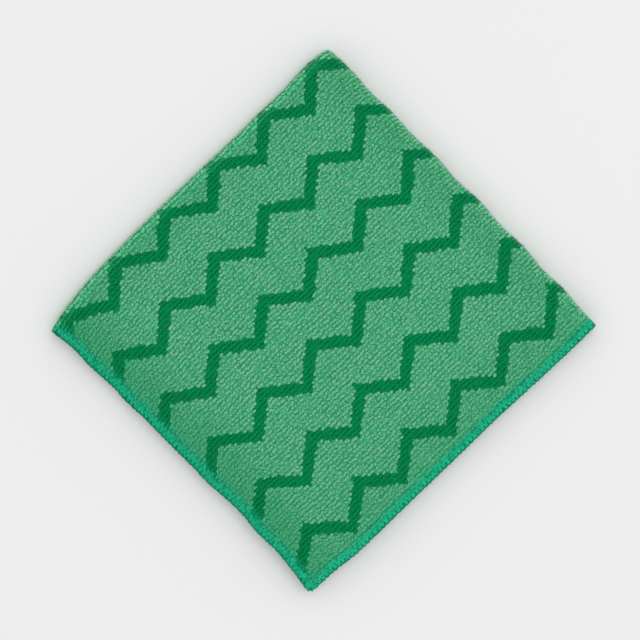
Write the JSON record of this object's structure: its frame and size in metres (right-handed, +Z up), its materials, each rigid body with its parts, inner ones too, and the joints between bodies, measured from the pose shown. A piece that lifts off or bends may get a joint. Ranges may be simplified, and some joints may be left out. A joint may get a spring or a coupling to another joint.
{
  "type": "folded microfibre cloth",
  "caption": "Square terry microfibre cleaning cloth with an overlocked edge and zigzag stripes, folded in quarters and lying flat.",
  "frame": {"origin": "middle of the folded cloth, on the surface it rests on", "axes": "+Z up; +X towards the first crease, +Y towards the second crease, with the overlocked edges at -X and -Y"},
  "size_m": [0.2071, 0.2036, 0.0126],
  "materials": {
    "terry": "matt green looped microfibre terry knit with darker green zigzag stripes and a bluer green overlocked edge"
  },
  "bodies": {
    "root": {"cloth": "terry"}
  },
  "joints": []
}
